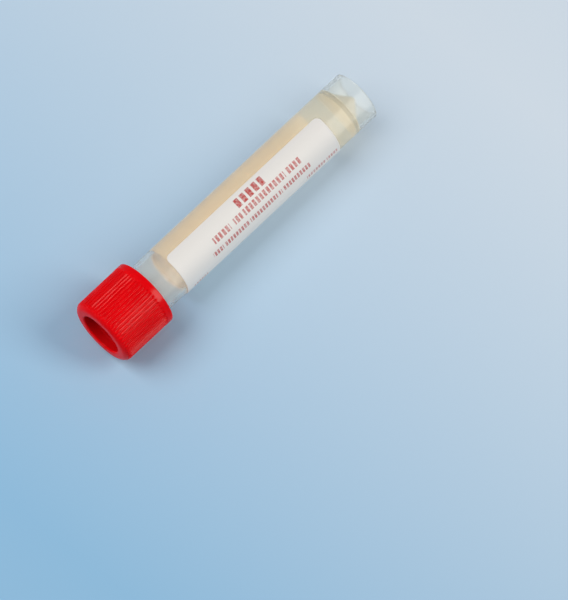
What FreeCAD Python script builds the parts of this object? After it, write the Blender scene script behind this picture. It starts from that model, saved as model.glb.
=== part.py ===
"""Capped transport tube for a specimen swab, built from its five moulded, cut and filled pieces.

The tube stands on its skirt. The origin is the centre of the skirt's rim, and +Z runs up the
tube's axis to the cap. Lengths are in millimetres and angles in degrees.
"""
import FreeCAD, Part
import math
import os

from FreeCAD import Vector

# Tube: one clear moulding, with a threaded neck, a false bottom and a skirt.
tube_dia = 12.8             # outside, from the neck down to the skirt's rim
tube_wall = 0.9
tube_height = 78.0          # from the skirt's rim to the mouth's rim
skirt_wall = 0.9
edge_break = 0.25           # bevel of the mouldings' free edges
cone_half_angle = 48.0      # false bottom, measured from the axis
cone_wall = 0.6
nose_inner_radius = 0.6     # inside of the false bottom's rounded tip
nose_lift = 1.1             # tip's outside, above the surface that the tube stands on

# Thread: a single right-hand start, moulded on the neck and inside the cap.
thread_pitch = 4.0
thread_depth = 0.7
ridge_base_width = 1.9      # along the axis, at the ridge's root
ridge_crest_width = 0.9
neck_ridge_turns = 1.75
neck_ridge_below_rim = 1.3  # from the mouth's rim to the top turn's middle
cap_ridge_first_turn = 0.4  # of the path that meshes with the neck's ridge
cap_ridge_turns = 1.25
ridge_run_out = 24.0        # over which each end of a ridge fades into its wall
thread_gap = 0.2            # radial, crest to root
flank_gap = 0.25            # axial, between the flanks that draw the cap down

# Sealing washer between the cap's ceiling and the tube's rim.
seal_thickness = 0.8
seal_overhang = 0.5         # past the outside of the tube's rim
seal_boss_gap = 0.15        # radial, round the cap's boss

# Cap: one moulding with grip ribs, a recess in its top and a centring boss below its ceiling.
cap_wall = 0.9              # from the bore to the floor of a valley
cap_height = 14.7
cap_shoulder_radius = 1.7
cap_shoulder_flats = 4      # the shoulder's quarter round is drawn as this many short flats
cap_top_ring = 1.25         # flat width between the shoulder and the recess's bevel
cap_recess_depth = 2.4
cap_ceiling = 1.3           # thickness left under the recess
cap_lead_in = 0.5           # chamfer inside the cap's mouth
boss_bore_gap = 0.75        # radial, between the boss and the tube's bore
boss_wall = 1.2
boss_length = 3.0
rib_count = 58
rib_height = 0.3
rib_foot_share = 0.76       # of the pitch, the rest is the floor of the valley between two ribs
rib_crest_share = 0.36      # of the pitch
plain_band = 1.6            # ribless height above the cap's mouth
band_step = 0.04            # of the plain band over the ribs' crests

# Label: a sheet wrapped round the tube, with a window left open along its side.
label_thickness = 0.12
label_glue = 0.02           # film of glue between the sheet and the tube
label_height = 48.95
label_lift = 11.95          # lower edge, above the skirt's rim
label_edge_angle = -65.0    # where the sheet starts, measured from +X towards +Y
label_wrap_angle = 285.0    # from there it runs back through -Y, -X and +Y
label_corner_radius = 1.4

# Medium: the liquid that fills the false bottom and most of the bore.
medium_level = 60.4         # flat middle of its surface
meniscus_rise = 0.35        # at the wall
meniscus_width = 1.4        # of the sloping rim that the wall draws up
medium_film = 0.03          # kept free between the liquid and the wall

# Places that follow from the sizes above.
tube_radius = tube_dia / 2
bore_radius = tube_radius - tube_wall
skirt_inner_radius = tube_radius - skirt_wall
nose_outer_radius = nose_inner_radius + cone_wall
nose_centre_z = nose_lift + nose_outer_radius
ceiling_z = tube_height + seal_thickness
recess_floor_z = ceiling_z + cap_ceiling
cap_top_z = recess_floor_z + cap_recess_depth
cap_mouth_z = cap_top_z - cap_height
cap_bore_radius = tube_radius + thread_depth + thread_gap
valley_radius = cap_bore_radius + cap_wall
rib_radius = valley_radius + rib_height
cap_radius = rib_radius + band_step
recess_radius = cap_radius - cap_shoulder_radius - cap_top_ring - edge_break
boss_radius = bore_radius - boss_bore_gap
neck_path_z = tube_height - neck_ridge_below_rim - neck_ridge_turns * thread_pitch
ridge_mean_width = (ridge_base_width + ridge_crest_width) / 2
cap_path_z = neck_path_z - ridge_mean_width - flank_gap


def at(radius, z):
    """Point of a revolved outline."""
    return Vector(radius, 0, z)


def polar(radius, angle, z=0.0):
    """Point at an angle round the tube's axis."""
    turn = math.radians(angle)
    return Vector(radius * math.cos(turn), radius * math.sin(turn), z)


def line(start, end):
    return Part.LineSegment(start, end).toShape()


def arc(start, middle, end):
    return Part.Arc(start, middle, end).toShape()


def round_point(centre, radius, angle):
    """Point of a revolved outline on a circle, at an angle from the radial direction up."""
    turn = math.radians(angle)
    return centre + Vector(math.cos(turn), 0, math.sin(turn)) * radius


def outline(*pieces):
    """Edges in a row from corner points and arcs, closed back to the start."""
    edges = []
    first = last = None
    for piece in pieces:
        is_point = isinstance(piece, Vector)
        start = piece if is_point else piece.valueAt(piece.FirstParameter)
        if last is not None and last.distanceToPoint(start) > 1e-7:
            edges.append(line(last, start))
        if not is_point:
            edges.append(piece)
        last = piece if is_point else piece.valueAt(piece.LastParameter)
        first = first or start
    if last.distanceToPoint(first) > 1e-7:
        edges.append(line(last, first))
    return Part.Wire(edges)


def turned(wire, angle=360.0):
    """Solid of revolution about the tube's axis."""
    return Part.Face(wire).revolve(Vector(), Vector(0, 0, 1), angle)


def nose(radius):
    """Lower outline of the false bottom: rounded tip, as far as the cone's tangent point."""
    centre = at(0, nose_centre_z)
    half_way = -(90 + cone_half_angle) / 2
    return arc(*[round_point(centre, radius, angle) for angle in (-90, half_way, -cone_half_angle)])


def cone_meets_z(radius, nose_radius):
    """Height at which the cone round a tip of nose_radius reaches the given radius."""
    slope = math.radians(cone_half_angle)
    tangent_z = nose_centre_z - nose_radius * math.sin(slope)
    return tangent_z + (radius - nose_radius * math.cos(slope)) / math.tan(slope)


def ridge(root_radius, crest_radius, path_z, first_turn, turns):
    """Helical thread ridge whose root is sunk a little way into the wall that carries it.

    Its middle follows the right-hand helix that passes +X at path_z, from first_turn on.
    """
    outward = 1 if crest_radius > root_radius else -1
    sunk = thread_gap * 0.75
    flank_slope = (ridge_base_width - ridge_crest_width) / 2 / thread_depth
    half_root = ridge_base_width / 2 + sunk * flank_slope
    half_crest = ridge_crest_width / 2
    root = root_radius - outward * sunk
    section = Part.makePolygon([
        at(root, -half_root), at(crest_radius, -half_crest),
        at(crest_radius, half_crest), at(root, half_root), at(root, -half_root)])
    path = Part.makeHelix(thread_pitch, turns * thread_pitch, root_radius)
    body = Part.Wire(path.Edges).makePipeShell([section], True, True)
    for end_turn, inward in ((0, 1), (turns, -1)):
        body = body.cut(run_out(end_turn, inward, root, crest_radius))
    body.rotate(Vector(), Vector(0, 0, 1), first_turn * 360)
    body.translate(Vector(0, 0, path_z + first_turn * thread_pitch))
    return body


def run_out(end_turn, inward, root_radius, crest_radius):
    """Prism that pares one end of a ridge down to its wall over the run-out angle."""
    angle = end_turn * 360.0
    z = (end_turn - 0.5) * thread_pitch
    foot = polar(root_radius, angle, z)
    full = polar(crest_radius, angle + inward * ridge_run_out, z)
    along = (full - foot).normalize() * (thread_depth / 2)
    aside = polar(3 * (crest_radius - root_radius), angle)
    corners = [foot - along * 3, full + along, full + along + aside, foot - along * 3 + aside]
    face = Part.Face(Part.makePolygon(corners + corners[:1]))
    return face.extrude(Vector(0, 0, thread_pitch))


def tube_body():
    """Clear tube: cylinder on a skirt, closed inside by a false bottom, with a threaded neck."""
    wall = turned(outline(
        at(skirt_inner_radius, 0),
        at(tube_radius - edge_break, 0), at(tube_radius, edge_break),
        at(tube_radius, tube_height - edge_break), at(tube_radius - edge_break, tube_height),
        at(bore_radius, tube_height)))
    false_bottom = turned(outline(
        nose(nose_outer_radius),
        at(skirt_inner_radius, cone_meets_z(skirt_inner_radius, nose_outer_radius)),
        at(tube_radius - tube_wall / 2, cone_meets_z(skirt_inner_radius, nose_outer_radius)),
        at(tube_radius - tube_wall / 2, cone_meets_z(bore_radius, nose_inner_radius)),
        at(bore_radius, cone_meets_z(bore_radius, nose_inner_radius)),
        at(0, cone_meets_z(bore_radius, nose_inner_radius))))
    hollow = turned(outline(
        nose(nose_inner_radius),
        at(bore_radius, cone_meets_z(bore_radius, nose_inner_radius)),
        at(bore_radius, tube_height + 1), at(0, tube_height + 1)))
    neck_ridge = ridge(tube_radius, tube_radius + thread_depth, neck_path_z, 0, neck_ridge_turns)
    return wall.fuse(false_bottom).cut(hollow).fuse(neck_ridge).removeSplitter()


def grip_blank():
    """Grip ribs all round above a plain band, as tall as the cap."""
    pitch = 360.0 / rib_count
    half_foot = pitch * rib_foot_share / 2
    half_crest = pitch * rib_crest_share / 2
    corners = []
    for rib in range(rib_count):
        middle = rib * pitch
        corners += [
            polar(valley_radius, middle - half_foot), polar(rib_radius, middle - half_crest),
            polar(rib_radius, middle + half_crest), polar(valley_radius, middle + half_foot)]
    section = Part.Face(Part.makePolygon(corners + corners[:1]))
    ribs = section.extrude(Vector(0, 0, cap_height - plain_band))
    ribs.translate(Vector(0, 0, cap_mouth_z + plain_band))
    band = Part.makeCylinder(cap_radius, plain_band, Vector(0, 0, cap_mouth_z))
    return ribs.fuse(band)


def screw_cap():
    """Red cap: ribbed outside, recess on top, boss and thread inside."""
    shoulder_centre = at(cap_radius - cap_shoulder_radius, cap_top_z - cap_shoulder_radius)
    shoulder = [round_point(shoulder_centre, cap_shoulder_radius, 90 * step / cap_shoulder_flats)
                for step in range(cap_shoulder_flats + 1)]
    boss_end_z = ceiling_z - boss_length
    form = turned(outline(
        at(cap_bore_radius + cap_lead_in, cap_mouth_z),
        at(cap_radius - edge_break, cap_mouth_z), at(cap_radius, cap_mouth_z + edge_break),
        *shoulder,
        at(recess_radius + edge_break, cap_top_z), at(recess_radius, cap_top_z - edge_break),
        at(recess_radius, recess_floor_z), at(0, recess_floor_z), at(0, ceiling_z),
        at(boss_radius - boss_wall, ceiling_z), at(boss_radius - boss_wall, boss_end_z),
        at(boss_radius - edge_break, boss_end_z), at(boss_radius, boss_end_z + edge_break),
        at(boss_radius, ceiling_z), at(cap_bore_radius, ceiling_z),
        at(cap_bore_radius, cap_mouth_z + cap_lead_in)))
    cap_ridge = ridge(cap_bore_radius, cap_bore_radius - thread_depth, cap_path_z,
                      cap_ridge_first_turn, cap_ridge_turns)
    return form.common(grip_blank()).fuse(cap_ridge).removeSplitter()


def seal_ring():
    """Flat washer that sits round the boss, under the cap's ceiling."""
    outer = Part.makeCylinder(tube_radius + seal_overhang, seal_thickness,
                              Vector(0, 0, tube_height))
    inner = Part.makeCylinder(boss_radius + seal_boss_gap, seal_thickness,
                              Vector(0, 0, tube_height))
    return outer.cut(inner)


def label_corner(angle, inward, z, upward):
    """Tool that rounds one corner of the label, cut along the radius through that corner."""
    radius = label_corner_radius
    reach = tube_radius + 4 * label_thickness
    block = Part.makeBox(reach, 2 * radius, 2 * radius, Vector(0, -radius, -radius))
    inset_y = inward * radius
    inset_z = upward * radius
    round_off = Part.makeCylinder(radius, reach, Vector(0, inset_y, inset_z), Vector(1, 0, 0))
    keep = Part.makeBox(reach, 2 * radius, radius,
                        Vector(0, inset_y - radius, inset_z if upward > 0 else inset_z - radius))
    keep_side = Part.makeBox(reach, radius, 2 * radius,
                             Vector(0, inset_y if inward > 0 else inset_y - radius,
                                    inset_z - radius))
    tool = block.cut(round_off).cut(keep).cut(keep_side)
    tool.rotate(Vector(), Vector(0, 0, 1), angle)
    tool.translate(Vector(0, 0, z))
    return tool


def label():
    """Wrapped sheet with rounded corners, on the tube's outside."""
    inner = tube_radius + label_glue
    outer = inner + label_thickness
    section = outline(at(inner, label_lift), at(outer, label_lift),
                      at(outer, label_lift + label_height), at(inner, label_lift + label_height))
    sheet = turned(section, -label_wrap_angle)
    for angle, inward in ((0, -1), (-label_wrap_angle, 1)):
        for z, upward in ((label_lift, 1), (label_lift + label_height, -1)):
            sheet = sheet.cut(label_corner(angle, inward, z, upward))
    sheet.rotate(Vector(), Vector(0, 0, 1), label_edge_angle)
    return sheet


def medium():
    """Liquid in the false bottom and the bore, with its surface drawn up a little at the wall."""
    radius = bore_radius - medium_film
    tip = nose_inner_radius - medium_film
    return turned(outline(
        nose(tip), at(radius, cone_meets_z(radius, tip)),
        at(radius, medium_level + meniscus_rise), at(radius - meniscus_width, medium_level),
        at(0, medium_level)))


pieces = {
    "tube_body": tube_body,
    "screw_cap": screw_cap,
    "seal_ring": seal_ring,
    "label": label,
    "medium": medium,
}

os.makedirs("parts", exist_ok=True)
for name, make in pieces.items():
    solid = make()
    print(name, "valid" if solid.isValid() else "NOT VALID", len(solid.Solids), "solid",
          round(solid.Volume, 2), "mm3")
    solid.exportStep("parts/" + name + ".step")
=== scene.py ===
import bpy
import math
import numpy as np
from mathutils import Matrix


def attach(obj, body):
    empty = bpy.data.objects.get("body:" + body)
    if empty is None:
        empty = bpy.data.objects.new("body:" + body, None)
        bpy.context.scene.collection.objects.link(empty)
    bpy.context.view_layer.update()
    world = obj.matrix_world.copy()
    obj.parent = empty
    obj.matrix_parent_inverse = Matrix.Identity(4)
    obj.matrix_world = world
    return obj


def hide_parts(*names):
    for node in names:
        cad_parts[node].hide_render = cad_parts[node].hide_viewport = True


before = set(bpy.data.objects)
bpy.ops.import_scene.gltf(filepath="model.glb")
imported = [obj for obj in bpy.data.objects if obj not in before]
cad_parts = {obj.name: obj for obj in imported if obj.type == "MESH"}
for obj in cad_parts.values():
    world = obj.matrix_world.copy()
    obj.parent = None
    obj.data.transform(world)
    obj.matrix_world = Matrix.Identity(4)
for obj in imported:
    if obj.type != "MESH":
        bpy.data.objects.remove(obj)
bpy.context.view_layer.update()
mm = 0.001
# mm by which a point may miss a surface that it still counts as on, loosely and strictly
slack, hair = 0.01, 1e-6


def linearColour(hexCode):
    # sRGB hex to linear: each channel is (c + 0.055) / 1.055 to the power 2.4, or c / 12.92 where darkest
    channels = [int(hexCode[k:k + 2], 16) / 255 for k in (1, 3, 5)]
    return [c / 12.92 if c <= 0.04045 else ((c + 0.055) / 1.055) ** 2.4 for c in channels] + [1.0]


def addNode(tree, kind, settings=(), links=()):
    # one node; settings are its properties or plain socket values, links are the sockets that feed it
    node = tree.nodes.new(kind)
    for key, value in dict(settings).items():
        if isinstance(key, str) and hasattr(node, key):
            setattr(node, key, value)
        else:
            node.inputs[key].default_value = value
    for key, source in dict(links).items():
        tree.links.new(source, node.inputs[key])
    return node


def newMaterial(name):
    material = bpy.data.materials.new(name)
    material.use_nodes = True
    material.node_tree.nodes.clear()
    return material, material.node_tree


def roundedProfile(corners, steps=5, guard=0.05):
    # a line through (radius, height, rounding) corners: each rounding is a circle's arc that touches both
    # sides, with a guard point a little before and after it, so that the flats shade flat
    points = []
    for k, (r, z, rounding) in enumerate(corners):
        here = np.array((r, z))
        if rounding == 0 or k in (0, len(corners) - 1):
            points.append(here)
            continue
        before = np.array(corners[k - 1][:2]) - here
        after = np.array(corners[k + 1][:2]) - here
        before, after = before / np.linalg.norm(before), after / np.linalg.norm(after)
        halfAngle = math.acos(np.clip(before @ after, -1, 1)) / 2
        reach = rounding / math.tan(halfAngle)
        centre = here + (before + after) / np.linalg.norm(before + after) * rounding / math.sin(halfAngle)
        first, last = here + before * reach - centre, here + after * reach - centre
        blend = np.linspace(0, 1, steps + 1)[:, None]
        spread = math.pi - 2 * halfAngle
        ring = (np.sin((1 - blend) * spread) * first + np.sin(blend * spread) * last) / math.sin(spread)
        points += [here + before * (reach + guard), *(centre + ring), here + after * (reach + guard)]
    return np.array(points)


def evenRows(radius, first, last, count):
    # a straight run of a profile, with evenly spaced points that can carry relief
    return np.stack([np.full(count, radius), np.linspace(first, last, count)], axis=-1)


def gridOf(profile, columns):
    # the profile's radius and height, each repeated over the columns
    return [np.repeat(profile[:, k:k + 1], columns, axis=1) for k in (0, 1)]


def fullRound(columns):
    return np.linspace(0, 2 * math.pi, columns, endpoint=False)


def onRings(radius, angles, height):
    # x = radius cos(angle), y = radius sin(angle), z = height, for each cell of a grid
    return np.stack(np.broadcast_arrays(radius * np.cos(angles), radius * np.sin(angles), height), axis=-1)


def quadsOf(index):
    # the four corners of each cell of a grid of point numbers, turning from the rows' way to the columns'
    corners = [index[:-1, :-1], index[:-1, 1:], index[1:, 1:], index[1:, :-1]]
    return np.stack(corners, axis=-1).reshape(-1, 4)


def newMesh(name, points, *faceSets):
    # points in millimetres, and one array of point numbers for each kind of face
    mesh = bpy.data.meshes.new(name)
    mesh.from_pydata((points * mm).tolist(), [], [face for faces in faceSets for face in faces.tolist()])
    mesh.shade_smooth()
    return mesh


def meshFromGrid(name, radius, height, angles, poles):
    # a profile carried round the axis: rows follow the profile, columns the angle, and the two poles close
    # the ends with fans
    rows, columns = radius.shape
    points = np.vstack([onRings(radius, angles, height).reshape(-1, 3), [(0, 0, pole) for pole in poles]])
    index = np.arange(rows * columns).reshape(rows, columns)
    beside = np.roll(index, -1, axis=1)
    first, last = rows * columns, rows * columns + 1
    fans = np.vstack([
        np.stack([np.full(columns, first), beside[0], index[0]], axis=-1),
        np.stack([np.full(columns, last), index[-1], beside[-1]], axis=-1)])
    return newMesh(name, points, quadsOf(np.hstack([index, index[:, :1]])), fans)


def useSecondMaterial(mesh, marked, ends, columns):
    # on the faces between two marked points of the profile, and on the fans of the marked ends
    perRow = np.append(marked[:-1] & marked[1:], ends).astype(np.int32)
    mesh.polygons.foreach_set("material_index", np.repeat(perRow, columns))


def addObject(name, data):
    thing = bpy.data.objects.new(name, data)
    bpy.context.scene.collection.objects.link(thing)
    return thing


def setPlace(thing, axes, place):
    # its own x, y and z axes as directions, and its place in metres
    matrix = np.eye(4)
    matrix[:3, :3], matrix[:3, 3] = np.stack(axes, axis=-1), place
    thing.matrix_world = Matrix(matrix.tolist())


def addPiece(mesh, body, node, slot, *materials):
    piece = addObject(mesh.name, mesh)
    for material in materials:
        mesh.materials.append(material)
    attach(piece, body)
    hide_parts(node)
    print("made", mesh.name, len(mesh.vertices), "points")


def ridgeHeight(angles, height, thread):
    # a helical ridge round the line z = start + pitch * turn: a flat crest, sloping flanks, and a fade at
    # each end over the run-out's degrees; flanks and fades are eased as 3 x^2 - 2 x^3
    best = np.zeros(height.shape)
    for lap in range(math.ceil(thread["lastTurn"]) + 1):
        turn = angles / (2 * math.pi) + lap
        offset = np.abs(height - thread["startHeight"] - thread["pitch"] * turn)
        body = np.clip((thread["baseWidth"] / 2 - offset) / thread["flankWidth"], 0, 1)
        fadeIn = np.clip((turn - thread["firstTurn"]) * 360 / thread["runOut"], 0, 1)
        fadeOut = np.clip((thread["lastTurn"] - turn) * 360 / thread["runOut"], 0, 1)
        fade = np.minimum(fadeIn, fadeOut)
        smooth = body * body * (3 - 2 * body)
        best = np.maximum(best, smooth * fade * fade * (3 - 2 * fade))
    return best * thread["depth"]


# Clear tube with its false bottom, skirt and threaded neck. The points that carry the thread stand in even
# rows between two heights, and a guard is the short gap from such rows to the next part of the profile. The
# false bottom is cloudier up to a little way above its cone.
tube = {
    "radius": 6.4, "bore": 5.5, "height": 78.0, "skirtBore": 5.5,
    "coneHalfAngle": 48.0, "tipOuter": 1.2, "tipInner": 0.6, "tipCentre": 2.3,
    "footRounding": 0.25, "skirtRounding": 0.12, "mouthRounding": 0.3, "coneRootRounding": 0.2,
    "plainTo": 66.0, "threadFrom": 66.2, "threadTo": 77.6, "threadRows": 66, "threadGuard": 0.05,
    "cloudyAboveCone": 0.3, "columns": 160,
}
neckThread = {
    "pitch": 4.0, "startHeight": 69.7, "firstTurn": 0.0, "lastTurn": 1.75,
    "baseWidth": 1.9, "flankWidth": 0.5, "depth": 0.7, "runOut": 24.0,
}


def coneHeight(radius, tip):
    # height at which the cone round a tip of that radius reaches the given radius
    slope = math.radians(tube["coneHalfAngle"])
    return tube["tipCentre"] - tip * math.sin(slope) + (radius - tip * math.cos(slope)) / math.tan(slope)


def tipArc(tip, steps=6):
    # points of the rounded tip, from just off the axis to where the cone leaves it
    turn = np.radians(np.linspace(-90, -tube["coneHalfAngle"], steps + 1)[1:])
    return np.stack([tip * np.cos(turn), tube["tipCentre"] + tip * np.sin(turn)], axis=-1)


def makeTube():
    underCone = roundedProfile([
        (*tipArc(tube["tipOuter"])[-1], 0),
        (tube["skirtBore"], coneHeight(tube["skirtBore"], tube["tipOuter"]), tube["coneRootRounding"]),
        (tube["skirtBore"], 0, tube["skirtRounding"]),
        (tube["radius"], 0, tube["footRounding"]),
        (tube["radius"], tube["plainTo"], 0)])
    neck = evenRows(tube["radius"], tube["threadFrom"], tube["threadTo"], tube["threadRows"])
    inside = roundedProfile([
        (tube["radius"], tube["threadTo"] + tube["threadGuard"], 0),
        (tube["radius"], tube["height"], tube["mouthRounding"]),
        (tube["bore"], tube["height"], tube["mouthRounding"]),
        (tube["bore"], coneHeight(tube["bore"], tube["tipInner"]), tube["coneRootRounding"]),
        (*tipArc(tube["tipInner"])[-1], 0)])
    profile = np.vstack([
        tipArc(tube["tipOuter"])[:-1], underCone, neck, inside, tipArc(tube["tipInner"])[-2::-1]])
    angles = fullRound(tube["columns"])
    radius, height = gridOf(profile, len(angles))
    outside = (radius > tube["radius"] - hair) & (height > tube["plainTo"])
    radius = radius + np.where(outside, ridgeHeight(angles, height, neckThread), 0)
    poles = (tube["tipCentre"] - tube["tipOuter"], tube["tipCentre"] - tube["tipInner"])
    mesh = meshFromGrid("clearTube", radius, height, angles, poles)
    # the false bottom's faces, and the fans that close its tips, take the cloudier second material
    cloudyTo = coneHeight(tube["bore"], tube["tipInner"]) + tube["cloudyAboveCone"]
    cone = (profile[:, 0] < tube["bore"] - slack) & (profile[:, 1] < cloudyTo)
    useSecondMaterial(mesh, cone, (True, True), len(angles))
    return mesh


# Liquid in the tube, with a surface that is flat within the middle radius and climbs near the wall.
liquid = {
    "level": 60.4, "rise": 0.35, "riseWidth": 1.4, "riseSteps": 9, "middleRadius": 2.0, "edgeGuard": 0.06,
    "wallOverlap": 0.03, "columns": 128,
}


def makeLiquid():
    # it reaches a little way into the wall, so that no film of air shows between the two
    radius = tube["bore"] + liquid["wallOverlap"]
    tip = tube["tipInner"] + liquid["wallOverlap"]
    root = coneHeight(radius, tip)
    sides = roundedProfile([
        (*tipArc(tip)[-1], 0), (radius, root, tube["coneRootRounding"]),
        (radius, liquid["level"] + liquid["rise"] - liquid["edgeGuard"], 0),
        (radius, liquid["level"] + liquid["rise"], 0)])
    # the surface climbs to the wall as the square of the distance from its flat middle
    inward = np.linspace(0, 1, liquid["riseSteps"])
    surface = np.stack([
        radius - inward * liquid["riseWidth"],
        liquid["level"] + liquid["rise"] * (1 - inward) ** 2], axis=-1)
    profile = np.vstack([tipArc(tip)[:-1], sides, surface[1:], [(liquid["middleRadius"], liquid["level"])]])
    poles = (tube["tipCentre"] - tip, liquid["level"])
    angles = fullRound(liquid["columns"])
    return meshFromGrid("paleMedium", *gridOf(profile, len(angles)), angles, poles)


# Cap. Each rib takes eleven columns, given as shares of the turn from one rib to the next: a flat crest,
# two rounded flanks and the middle of the valley, with their heights as shares of the rib's height. The
# grooves start above a plain band, over the fade's rows.
cap = {
    "radius": 8.54, "mouth": 67.8, "top": 82.5, "shoulder": 1.7, "bore": 7.3, "leadIn": 0.5,
    "ceiling": 78.8, "recessRadius": 5.34, "recessFloor": 80.1, "recessRounding": 0.45,
    "bossOuter": 4.75, "bossInner": 3.55, "bossEnd": 75.8, "bossRounding": 0.3,
    "edgeRounding": 0.25, "innerRounding": 0.15, "leadInRounding": 0.1, "floorRounding": 0.3,
    "ceilingMiddle": 2.0, "floorMiddle": 1.5,
    "threadTop": 76.0, "threadRows": 52, "threadGuard": 0.2,
    "ribs": 58, "ribHeight": 0.3, "valley": 8.2,
    "ribAt": (-0.38, -0.35, -0.21, -0.175, -0.135, 0.135, 0.175, 0.21, 0.35, 0.38, 0.5),
    "ribRise": (0, 0.1, 0.88, 0.98, 1, 1, 0.98, 0.88, 0.1, 0, 0),
    "bandTop": 69.4, "bandFade": 0.35, "bandGuard": 0.15, "fadeGuard": 0.1, "fadeRows": 7, "sideFrom": 70.2,
}
capThread = {
    "pitch": 4.0, "startHeight": 68.05, "firstTurn": 0.4, "lastTurn": 1.65,
    "baseWidth": 1.9, "flankWidth": 0.5, "depth": 0.7, "runOut": 24.0,
}


def makeCap():
    inner = roundedProfile([
        (cap["ceilingMiddle"], cap["ceiling"], 0), (cap["bossInner"], cap["ceiling"], cap["innerRounding"]),
        (cap["bossInner"], cap["bossEnd"], cap["innerRounding"]),
        (cap["bossOuter"], cap["bossEnd"], cap["bossRounding"]),
        (cap["bossOuter"], cap["ceiling"], cap["innerRounding"]),
        (cap["bore"], cap["ceiling"], cap["innerRounding"]),
        (cap["bore"], cap["threadTop"] + cap["threadGuard"], 0)], steps=3)
    mouthEdge = cap["mouth"] + cap["leadIn"]
    bore = evenRows(cap["bore"], cap["threadTop"], mouthEdge + cap["leadInRounding"], cap["threadRows"])
    mouth = roundedProfile([
        (cap["bore"], mouthEdge, 0),
        (cap["bore"] + cap["leadIn"], cap["mouth"], cap["leadInRounding"]),
        (cap["radius"], cap["mouth"], cap["edgeRounding"]),
        (cap["radius"], cap["bandTop"] - 2 * cap["bandGuard"], 0)], steps=4)
    fadeTop = cap["bandTop"] + cap["bandFade"] + cap["fadeGuard"]
    band = evenRows(cap["radius"], cap["bandTop"] - cap["bandGuard"], fadeTop, cap["fadeRows"])
    crown = roundedProfile([
        (cap["radius"], cap["sideFrom"], 0), (cap["radius"], cap["top"], cap["shoulder"]),
        (cap["recessRadius"], cap["top"], cap["recessRounding"]),
        (cap["recessRadius"], cap["recessFloor"], cap["floorRounding"]),
        (cap["floorMiddle"], cap["recessFloor"], 0)], steps=10)
    profile = np.vstack([inner, bore, mouth, band, crown])
    ribTurn = 2 * math.pi / cap["ribs"]
    angles = (np.arange(cap["ribs"])[:, None] * ribTurn + np.array(cap["ribAt"]) * ribTurn).ravel()
    radius, height = gridOf(profile, len(angles))
    belowGuard = height < cap["threadTop"] + cap["threadGuard"] + slack
    threaded = (np.abs(radius - cap["bore"]) < hair) & belowGuard
    radius = radius - np.where(threaded, ridgeHeight(angles, height, capThread), 0)
    # the grooves deepen over a short run above the plain band and run out on the shoulder; the inside lies
    # within the valleys, so it keeps its radius
    runIn = np.clip((height - cap["bandTop"]) / cap["bandFade"], 0, 1)
    ribForm = cap["ribHeight"] * np.tile(cap["ribRise"], cap["ribs"])
    ribbed = cap["valley"] + ribForm + (1 - runIn) * (cap["radius"] - cap["valley"])
    radius = np.minimum(radius, ribbed)
    mesh = meshFromGrid("ribbedCap", radius, height, angles, (cap["ceiling"], cap["recessFloor"]))
    # the recess's wall and floor, with the fan that closes the floor, take the duller second material,
    # whose darker red is painted shade in the recess
    inCrown = np.arange(len(profile)) >= len(profile) - len(crown)
    inRecess = inCrown & (profile[:, 0] < cap["recessRadius"] + slack)
    useSecondMaterial(mesh, inRecess, (False, True), len(angles))
    return mesh


# Sealing washer.
washer = {
    "inner": 4.9, "outer": 6.9, "low": 78.0, "high": 78.8, "rounding": 0.12, "seamGap": 0.02,
    "columns": 128,
}


def makeWasher():
    # a ring's closed profile carried round, so its first row and its first column are met again at the end
    middle = (washer["low"] + washer["high"]) / 2
    profile = roundedProfile([
        (washer["inner"], middle, 0), (washer["inner"], washer["low"], washer["rounding"]),
        (washer["outer"], washer["low"], washer["rounding"]),
        (washer["outer"], washer["high"], washer["rounding"]),
        (washer["inner"], washer["high"], washer["rounding"]),
        (washer["inner"], middle + washer["seamGap"], 0)], steps=3)
    rows, columns = len(profile), washer["columns"]
    points = onRings(profile[:, :1], fullRound(columns), profile[:, 1:]).reshape(-1, 3)
    index = np.pad(np.arange(rows * columns).reshape(rows, columns), (0, 1), mode="wrap")
    return newMesh("sealWasher", points, quadsOf(index))


# Label. It starts at its free edge and wraps clockwise, seen from above, by so many degrees.
label = {
    "inner": 6.42, "thickness": 0.12, "low": 11.95, "height": 48.95, "startAngle": -65.0, "wrap": 285.0,
    "cornerRadius": 1.4, "endColumns": 9, "middleColumns": 110, "rows": 25, "rimGuard": 0.001,
}


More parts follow.
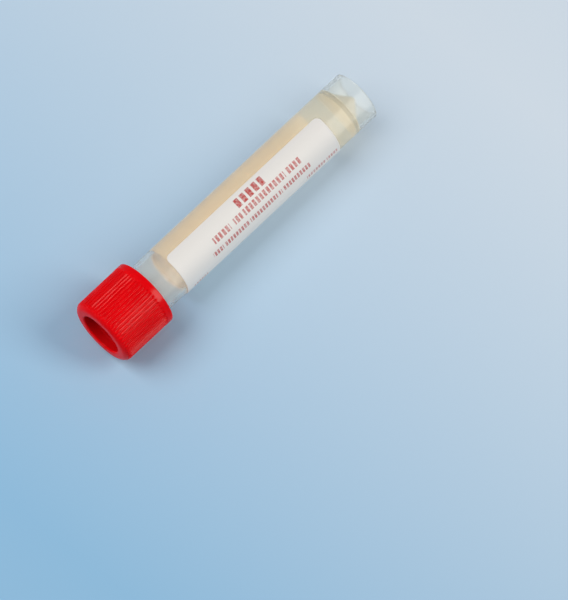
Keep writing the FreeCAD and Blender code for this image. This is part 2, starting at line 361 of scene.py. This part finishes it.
def makeLabel():
    # a sheet bent round the axis: columns run round from the free edge, rows up; the rounded corners draw
    # the rows in near both ends by corner radius minus the root of (radius squared - distance squared), and
    # guard rows close to the rim keep it crisp
    outer = label["inner"] + label["thickness"]
    corner = label["cornerRadius"]
    length = math.radians(label["wrap"]) * outer
    eased = corner * (1 - np.cos(np.linspace(0, math.pi / 2, label["endColumns"])))
    along = np.concatenate([
        eased, np.linspace(corner, length - corner, label["middleColumns"])[1:-1], length - eased[::-1]])
    toEnd = np.minimum(np.minimum(along, length - along), corner)
    inset = corner - np.sqrt(np.clip(corner ** 2 - (corner - toEnd) ** 2, 0, None))
    angle = math.radians(label["startAngle"]) - along / outer
    guard = label["rimGuard"]
    middle = np.linspace(2 * guard, 1 - 2 * guard, label["rows"])
    share = np.concatenate([[0, guard], middle, [1 - guard, 1]])
    height = label["low"] + inset[:, None] + share * (label["height"] - 2 * inset[:, None])
    points = np.concatenate([
        onRings(radius, angle[:, None], height).reshape(-1, 3) for radius in (outer, label["inner"])])
    front = np.arange(height.size).reshape(height.shape)
    frontFaces, backFaces = quadsOf(front), quadsOf(front + height.size)[:, ::-1]
    rim = np.concatenate([front[:, 0], front[-1, 1:], front[-2::-1, -1], front[0, -2:0:-1]])
    nextRim = np.roll(rim, -1)
    rimFaces = np.stack([rim, nextRim, nextRim + height.size, rim + height.size], axis=-1)
    mesh = newMesh("wrappedLabel", points, frontFaces, backFaces, rimFaces)
    # the back takes the second material, and the rim is flat-shaded
    counts = (len(frontFaces), len(backFaces), len(rimFaces))
    mesh.polygons.foreach_set("material_index", np.repeat(np.array((0, 1, 0), np.int32), counts))
    mesh.polygons.foreach_set("use_smooth", np.repeat((True, True, False), counts))
    return mesh


def letLightThrough(tree, shader, lampTint, bounceTint=None):
    # to a lamp's ray the surface is a plain tinted film, so light reaches what stands behind; so it is to
    # bounced light, where that has a tint of its own, which is paler, because the bends of the plastic
    # lose none of it
    path = addNode(tree, "ShaderNodeLightPath")
    film = addNode(tree, "ShaderNodeBsdfTransparent", {"Color": linearColour(lampTint)})
    share = path.outputs["Is Shadow Ray"]
    if bounceTint:
        tint = addNode(tree, "ShaderNodeMix", {
            "data_type": "RGBA", 6: linearColour(lampTint), 7: linearColour(bounceTint)},
            {0: path.outputs["Is Diffuse Ray"]})
        tree.links.new(tint.outputs[2], film.inputs["Color"])
        share = addNode(tree, "ShaderNodeMath", {"operation": "MAXIMUM"}, {
            0: share, 1: path.outputs["Is Diffuse Ray"]}).outputs[0]
    mix = addNode(tree, "ShaderNodeMixShader", links={0: share, 1: shader.outputs[0], 2: film.outputs[0]})
    addNode(tree, "ShaderNodeOutputMaterial", links={"Surface": mix.outputs[0]})


def mouldedPolypropylene(name, tint, roughness, clearness):
    # injection-moulded polypropylene: clear with a faint milkiness, glossy, with weak flow lines about 3 mm
    # apart round the tube, drawn out along it
    material, tree = newMaterial(name)
    place = addNode(tree, "ShaderNodeTexCoord")
    stretch = addNode(tree, "ShaderNodeMapping", {"Scale": (1, 1, 0.15)},
                      {"Vector": place.outputs["Object"]})
    flow = addNode(tree, "ShaderNodeTexNoise", {"Scale": 1 / (2.857 * mm), "Detail": 2.0},
                   {"Vector": stretch.outputs[0]})
    bump = addNode(tree, "ShaderNodeBump", {"Strength": 0.12, "Distance": 0.1 * mm},
                   {"Height": flow.outputs[0]})
    shader = addNode(tree, "ShaderNodeBsdfPrincipled", {
        "Base Color": linearColour(tint), "Roughness": roughness, "IOR": 1.49,
        "Transmission Weight": clearness}, {"Normal": bump.outputs[0]})
    letLightThrough(tree, shader, "#f1f2f3", "#fcfcfc")
    return material


def transportMedium():
    # pale cloudy broth: nearly clear, with a cream cast and a little scatter
    material, tree = newMaterial("pale transport medium")
    shader = addNode(tree, "ShaderNodeBsdfPrincipled", {
        "Base Color": linearColour("#fdf4e2"), "Roughness": 0.12, "IOR": 1.34, "Transmission Weight": 0.82})
    letLightThrough(tree, shader, "#fdf8ee", "#fdf9ef")
    return material


def mouldedPolyethylene(name, deep, pale, smoothest):
    # injection-moulded red polyethylene: deep even colour with a satin gloss and a fine mould texture
    material, tree = newMaterial(name)
    place = addNode(tree, "ShaderNodeTexCoord")
    grain = addNode(tree, "ShaderNodeTexNoise", {"Scale": 1 / (0.35 * mm), "Detail": 3.0},
                    {"Vector": place.outputs["Object"]})
    cloud = addNode(tree, "ShaderNodeTexNoise", {"Scale": 1 / (6 * mm), "Detail": 2.0},
                    {"Vector": place.outputs["Object"]})
    tone = addNode(tree, "ShaderNodeValToRGB", links={"Fac": cloud.outputs[0]})
    tone.color_ramp.elements[0].position, tone.color_ramp.elements[1].position = 0.3, 0.7
    tone.color_ramp.elements[0].color = linearColour(deep)
    tone.color_ramp.elements[1].color = linearColour(pale)
    sheen = addNode(tree, "ShaderNodeMapRange", {"To Min": smoothest, "To Max": smoothest + 0.1},
                    {"Value": grain.outputs[0]})
    bump = addNode(tree, "ShaderNodeBump", {"Strength": 0.1, "Distance": 0.04 * mm},
                   {"Height": grain.outputs[0]})
    shader = addNode(tree, "ShaderNodeBsdfPrincipled", {"IOR": 1.51, "Specular IOR Level": 0.04}, {
        "Base Color": tone.outputs[0], "Roughness": sheen.outputs[0], "Normal": bump.outputs[0]})
    addNode(tree, "ShaderNodeOutputMaterial", links={"Surface": shader.outputs[0]})
    return material


def siliconeRubber():
    # moulded silicone: matt, slightly soft-edged off-white
    material, tree = newMaterial("moulded silicone")
    place = addNode(tree, "ShaderNodeTexCoord")
    grain = addNode(tree, "ShaderNodeTexNoise", {"Scale": 1 / (0.4 * mm), "Detail": 2.0},
                    {"Vector": place.outputs["Object"]})
    sheen = addNode(tree, "ShaderNodeMapRange", {"To Min": 0.5, "To Max": 0.65},
                    {"Value": grain.outputs[0]})
    shader = addNode(tree, "ShaderNodeBsdfPrincipled", {"Base Color": linearColour("#e6e3dc"), "IOR": 1.41},
                     {"Roughness": sheen.outputs[0]})
    addNode(tree, "ShaderNodeOutputMaterial", links={"Surface": shader.outputs[0]})
    return material


# Printed rows, in millimetres: the middle of each row as an angle round the tube, its height, where it
# starts and ends along the tube, the step from one dash to the next, the shares of its length where words
# end and begin in turn, and how strong its ink is. A dash fills its share of the step. The print is
# slightly askew, by the slant in degrees for each millimetre from the middle.
printed = {
    "paper": "#e8e3dc", "ink": "#b8322c", "radius": 6.54, "dash": 0.66, "slant": 0.13, "middle": 36.0,
    "margin": 0.01,
    "lines": [
        {"angle": -84.2, "height": 2.2, "from": 31.2, "to": 40.8, "step": 1.86, "strength": 1.0,
         "breaks": ()},
        {"angle": -107.3, "height": 1.65, "from": 21.5, "to": 50.2, "step": 1.1, "strength": 0.85,
         "breaks": (0.172, 0.195, 0.642, 0.666, 0.753, 0.795)},
        {"angle": -131.2, "height": 1.25, "from": 20.2, "to": 52.0, "step": 0.86, "strength": 0.85,
         "breaks": (0.285, 0.3, 0.325, 0.345, 0.61, 0.622, 0.87, 0.882)},
        {"angle": -165.0, "height": 1.0, "from": 54.5, "to": 59.2, "step": 0.8, "strength": 0.7,
         "breaks": ()},
        {"angle": -158.0, "height": 1.2, "from": 12.8, "to": 22.7, "step": 0.8, "strength": 0.7,
         "breaks": (0.35, 0.4)},
    ],
}


def printedPaper():
    # satin coated paper: warm white with a faint fibre grain, printed with rows of plain red dashes
    material, tree = newMaterial("coated label paper")
    place = addNode(tree, "ShaderNodeTexCoord")
    axes = addNode(tree, "ShaderNodeSeparateXYZ", links={0: place.outputs["Object"]})
    angle = addNode(tree, "ShaderNodeMath", {"operation": "ARCTAN2"},
                    {0: axes.outputs[1], 1: axes.outputs[0]})
    turned = addNode(tree, "ShaderNodeMath", {"operation": "DEGREES"}, {0: angle.outputs[0]})
    height = addNode(tree, "ShaderNodeMath", {"operation": "MULTIPLY", 1: 1 / mm}, {0: axes.outputs[2]})
    askew = addNode(tree, "ShaderNodeMath", {
        "operation": "MULTIPLY_ADD", 1: printed["slant"], 2: -printed["slant"] * printed["middle"]},
        {0: height.outputs[0]})
    degrees = addNode(tree, "ShaderNodeMath", {"operation": "ADD"},
                      {0: turned.outputs[0], 1: askew.outputs[0]})
    strokes = addNode(tree, "ShaderNodeTexNoise", {"Scale": 1 / (0.5 * mm), "Detail": 1.0},
                      {"Vector": place.outputs["Object"]})
    screen = addNode(tree, "ShaderNodeMapRange", {
        "From Min": 0.35, "From Max": 0.65, "To Min": 0.6, "To Max": 1.0}, {"Value": strokes.outputs[0]})
    cover, margin = None, printed["margin"]
    for line in printed["lines"]:
        halfAngle = math.degrees(line["height"] / 2 / printed["radius"])
        across = addNode(tree, "ShaderNodeMath", {"operation": "COMPARE", 1: line["angle"], 2: halfAngle},
                         {0: degrees.outputs[0]})
        along = addNode(tree, "ShaderNodeMapRange", {
            "From Min": line["from"], "From Max": line["to"], "To Min": margin, "To Max": 1 - margin},
            {"Value": height.outputs[0]})
        # a stepped ramp: bare up to twice the margin, then inked and bare in turn, and bare at the end
        words = addNode(tree, "ShaderNodeValToRGB", links={"Fac": along.outputs[0]})
        ramp = words.color_ramp
        ramp.interpolation = "CONSTANT"
        bare, inked = (0, 0, 0, 1), (*[line["strength"]] * 3, 1)
        ramp.elements[0].color = bare
        ramp.elements[1].position, ramp.elements[1].color = 2 * margin, inked
        for k, stop in enumerate((*line["breaks"], 1 - 2 * margin)):
            ramp.elements.new(stop).color = inked if k % 2 else bare
        within = addNode(tree, "ShaderNodeMath", {"operation": "MODULO", 1: line["step"]},
                         {0: height.outputs[0]})
        dash = addNode(tree, "ShaderNodeMath", {
            "operation": "LESS_THAN", 1: line["step"] * printed["dash"]}, {0: within.outputs[0]})
        row = addNode(tree, "ShaderNodeMath", {"operation": "MULTIPLY"},
                      {0: across.outputs[0], 1: words.outputs[0]})
        bar = addNode(tree, "ShaderNodeMath", {"operation": "MULTIPLY"},
                      {0: row.outputs[0], 1: dash.outputs[0]})
        cover = bar if cover is None else addNode(tree, "ShaderNodeMath", {"operation": "MAXIMUM"}, {
            0: cover.outputs[0], 1: bar.outputs[0]})
    ink = addNode(tree, "ShaderNodeMath", {"operation": "MULTIPLY"},
                  {0: cover.outputs[0], 1: screen.outputs[0]})
    colour = addNode(tree, "ShaderNodeMix", {
        "data_type": "RGBA", 6: linearColour(printed["paper"]), 7: linearColour(printed["ink"])},
        {0: ink.outputs[0]})
    fibre = addNode(tree, "ShaderNodeTexNoise", {"Scale": 1 / (0.25 * mm), "Detail": 3.0},
                    {"Vector": place.outputs["Object"]})
    bump = addNode(tree, "ShaderNodeBump", {"Strength": 0.08, "Distance": 0.03 * mm},
                   {"Height": fibre.outputs[0]})
    shader = addNode(tree, "ShaderNodeBsdfPrincipled", {"Roughness": 0.45, "IOR": 1.48},
                     {"Base Color": colour.outputs[2], "Normal": bump.outputs[0]})
    letLightThrough(tree, shader, "#dcd6ca")
    return material


def gluedPaperBack():
    # back of the paper under its film of glue: duller and warmer than the front, with blotches of about
    # 4 mm; its faint glow stands for the light that comes through the paper from its front
    material, tree = newMaterial("glued paper back")
    place = addNode(tree, "ShaderNodeTexCoord")
    blotch = addNode(tree, "ShaderNodeTexNoise", {"Scale": 1 / (4 * mm), "Detail": 3.0},
                     {"Vector": place.outputs["Object"]})
    tone = addNode(tree, "ShaderNodeValToRGB", links={"Fac": blotch.outputs[0]})
    tone.color_ramp.elements[0].position, tone.color_ramp.elements[1].position = 0.35, 0.65
    tone.color_ramp.elements[0].color = linearColour("#f9eee2")
    tone.color_ramp.elements[1].color = linearColour("#f9f3e8")
    shader = addNode(tree, "ShaderNodeBsdfPrincipled", {
        "Roughness": 0.6, "IOR": 1.47, "Emission Color": linearColour("#ffdcb0"),
        "Emission Strength": 0.11}, {"Base Color": tone.outputs[0]})
    letLightThrough(tree, shader, "#dcd6ca")
    return material


print("materials and pieces")
addPiece(makeTube(), "tube", "tube_body", "clear_plastic",
         mouldedPolypropylene("moulded clear polypropylene", "#fefdf6", 0.18, 0.9),
         mouldedPolypropylene("cloudy polypropylene of the false bottom", "#f6eac8", 0.35, 0.5))
addPiece(makeLiquid(), "tube", "medium", "pale_medium", transportMedium())
addPiece(makeLabel(), "tube", "label", "label_film", printedPaper(), gluedPaperBack())
addPiece(makeWasher(), "seal", "seal_ring", "seal_rubber", siliconeRubber())
# the cap's second material, for its recess, is duller and a darker red; the darker red is painted shade
addPiece(makeCap(), "cap", "screw_cap", "red_plastic",
         mouldedPolyethylene("moulded red polyethylene", "#e4040c", "#ec060e", 0.15),
         mouldedPolyethylene("dull red polyethylene of the recess", "#bf030a", "#c6040b", 0.4))

# The table that the tube leans back on, seen from its front only. It touches the foot and the cap at these
# distances from the axis and heights, in millimetres. Its tone runs from near to far along a direction to
# the right and up in the view, between two distances from the origin; this darker near side and paler far
# side are painted light, the fall of the lamps' light across the table.
table = {
    "normalAngle": 15.9, "footTouch": (6.42, 0.25), "capTouch": (8.56, 67.75), "size": 900.0,
    "points": 9, "near": "#9ac7e6", "far": "#dde8f1", "paler": (0.63, 0.77), "nearAt": -120.5,
    "farAt": 23.5,
}


def tableAxes():
    # the point under the tube's foot, the direction along the table towards the cap, and the one across it
    turn = math.radians(table["normalAngle"])
    out = np.array((math.sin(turn), -math.cos(turn), 0.0))
    low = -out * table["footTouch"][0] + np.array((0, 0, table["footTouch"][1]))
    high = -out * table["capTouch"][0] + np.array((0, 0, table["capTouch"][1]))
    along = (high - low) / np.linalg.norm(high - low)
    across = np.cross(along, out)
    return low, along, across / np.linalg.norm(across)


def makeTable():
    # a flat sheet of points a * along + b * across through the tube's foot
    low, along, across = tableAxes()
    steps = np.linspace(-0.5, 0.5, table["points"]) * table["size"]
    a, b = np.meshgrid(steps, steps, indexing="ij")
    points = (low + a[..., None] * along + b[..., None] * across).reshape(-1, 3)
    mesh = newMesh("paleTable", points, quadsOf(np.arange(a.size).reshape(a.shape)))
    return addObject(mesh.name, mesh)


def palePaper():
    # matt pale blue paper, a little paler towards one corner, to the right and up in the view; that run of
    # tone is painted light, the fall of the lamps' light across the table; from behind it isn't there
    material, tree = newMaterial("matt pale blue paper")
    right, up, _ = cameraAxes()
    paler = right * table["paler"][0] + up * table["paler"][1]
    paler /= np.linalg.norm(paler)
    place = addNode(tree, "ShaderNodeTexCoord")
    distance = addNode(tree, "ShaderNodeVectorMath", {"operation": "DOT_PRODUCT", 1: paler.tolist()},
                       {0: place.outputs["Object"]})
    share = addNode(tree, "ShaderNodeMapRange", {
        "From Min": table["nearAt"] * mm, "From Max": table["farAt"] * mm},
        {"Value": distance.outputs["Value"]})
    tone = addNode(tree, "ShaderNodeValToRGB", links={"Fac": share.outputs[0]})
    tone.color_ramp.elements[0].color = linearColour(table["near"])
    tone.color_ramp.elements[1].color = linearColour(table["far"])
    paper = addNode(tree, "ShaderNodeBsdfDiffuse", links={"Color": tone.outputs[0]})
    gone = addNode(tree, "ShaderNodeBsdfTransparent")
    side = addNode(tree, "ShaderNodeNewGeometry")
    mix = addNode(tree, "ShaderNodeMixShader", links={
        0: side.outputs["Backfacing"], 1: paper.outputs[0], 2: gone.outputs[0]})
    addNode(tree, "ShaderNodeOutputMaterial", links={"Surface": mix.outputs[0]})
    return material


# Camera: place and aim in millimetres, roll in degrees.
camera = {
    "place": (0.147, -2892.29, 837.92), "aim": (-22.640, 1.090, 45.208), "roll": 226.8215, "lens": 838.54,
    "sensor": 36.0,
}


def cameraAxes():
    place, aim = (np.array(camera[key]) for key in ("place", "aim"))
    back = (place - aim) / np.linalg.norm(place - aim)
    level = np.cross((0, 0, 1), back)
    level /= np.linalg.norm(level)
    upright = np.cross(back, level)
    roll = math.radians(camera["roll"])
    right = level * math.cos(roll) + upright * math.sin(roll)
    return right, np.cross(back, right), back


def placeCamera():
    data = bpy.data.cameras.new("mainView")
    data.sensor_fit, data.sensor_width, data.lens = "HORIZONTAL", camera["sensor"], camera["lens"]
    holder = addObject("mainView", data)
    setPlace(holder, cameraAxes(), np.array(camera["place"]) * mm)
    bpy.context.scene.camera = holder


# Softboxes: direction from the middle of the tube as (right, up, towards the viewer), distance, size along
# and across the tube, in metres, and power in watts. What is mirrored shows in gloss, and what is scattered
# lights matt surfaces.
tubeMiddle = (0.0, 0.0, 41.0)  # mm
tubePieces = ("clearTube", "paleMedium", "wrappedLabel", "sealWasher")
lamps = {
    "left": {"from": (-0.57, 0.29, 0.77), "distance": 0.8, "size": (0.5, 0.5), "power": 3.6,
             "colour": "#fffcf8"},
    "right": {"from": (0.685, 0.16, 0.71), "distance": 0.75, "size": (0.26, 0.5), "power": 2.35,
              "colour": "#fffaf2", "mirrored": False},
    "below": {"from": (0.2, -0.75, 0.7), "distance": 0.8, "size": (0.8, 0.8), "power": 1.7,
              "colour": "#fffcf8", "mirrored": False, "onlyOn": tubePieces},
    "tubeGlint": {"from": (0.767, 0.0, 0.641), "distance": 0.75, "size": (0.2, 1.08), "power": 1.4,
                  "colour": "#fffaf2", "scattered": False, "onlyOn": tubePieces},
    "capGlint": {"from": (0.699, -0.007, 0.715), "distance": 0.75, "size": (0.15, 0.5), "power": 8.0,
                 "colour": "#fffaf2", "scattered": False, "onlyOn": ("ribbedCap",)},
    "capTop": {"from": (-0.87, -0.2, 0.25), "distance": 0.6, "size": (0.2, 0.2), "power": 0.62,
               "colour": "#fffcf8", "mirrored": False, "onlyOn": ("ribbedCap",)},
    "capSide": {"from": (0.65, -0.5, 0.45), "distance": 0.6, "size": (0.3, 0.3), "power": 0.5,
                "colour": "#fffcf8", "mirrored": False, "onlyOn": ("ribbedCap",)},
}


def addLamp(name, settings):
    direction = np.array(settings["from"]) @ np.array(cameraAxes())
    direction /= np.linalg.norm(direction)
    data = bpy.data.lights.new(name, "AREA")
    data.shape, data.size, data.size_y = "RECTANGLE", *settings["size"]
    data.energy, data.color = settings["power"], linearColour(settings["colour"])[:3]
    lamp = addObject(name, data)
    lamp.visible_glossy = lamp.visible_transmission = settings.get("mirrored", True)
    lamp.visible_diffuse = settings.get("scattered", True)
    if "onlyOn" in settings:
        group = bpy.data.collections.new(name + "Receivers")
        for piece in settings["onlyOn"]:
            group.objects.link(bpy.data.objects[piece])
        lamp.light_linking.receiver_collection = group
    across = np.cross(direction, (0, 0, 1))
    across /= np.linalg.norm(across)
    place = np.array(tubeMiddle) * mm + direction * settings["distance"]
    setPlace(lamp, (np.cross(across, direction), across, direction), place)


surroundings = {"shown": "#b9cde0", "ambient": "#d0e3fc", "strength": 0.26}


def paintSurroundings():
    # a soft ambient light, and a pale blue that the view, the gloss and the clear plastic show
    world = bpy.data.worlds.new("paleRoom")
    world.use_nodes = True
    tree = world.node_tree
    tree.nodes.clear()
    path = addNode(tree, "ShaderNodeLightPath")
    seen = addNode(tree, "ShaderNodeMath", {"operation": "MAXIMUM"}, {
        0: path.outputs["Is Camera Ray"], 1: path.outputs["Is Glossy Ray"]})
    seenToo = addNode(tree, "ShaderNodeMath", {"operation": "MAXIMUM"}, {
        0: seen.outputs[0], 1: path.outputs["Is Transmission Ray"]})
    ambient = addNode(tree, "ShaderNodeBackground", {
        "Color": linearColour(surroundings["ambient"]), "Strength": surroundings["strength"]})
    shown = addNode(tree, "ShaderNodeBackground", {"Color": linearColour(surroundings["shown"])})
    mix = addNode(tree, "ShaderNodeMixShader", links={
        0: seenToo.outputs[0], 1: ambient.outputs[0], 2: shown.outputs[0]})
    addNode(tree, "ShaderNodeOutputWorld", links={"Surface": mix.outputs[0]})
    bpy.context.scene.world = world


sheet = makeTable()
sheet.data.materials.append(palePaper())
placeCamera()
for name, settings in lamps.items():
    addLamp(name, settings)
paintSurroundings()
bpy.context.scene.view_settings.view_transform = "Standard"
# a lamp's ray through label, plastic and liquid meets many films
bpy.context.scene.cycles.transparent_max_bounces = 32
print("table, camera, lamps and surroundings are set")
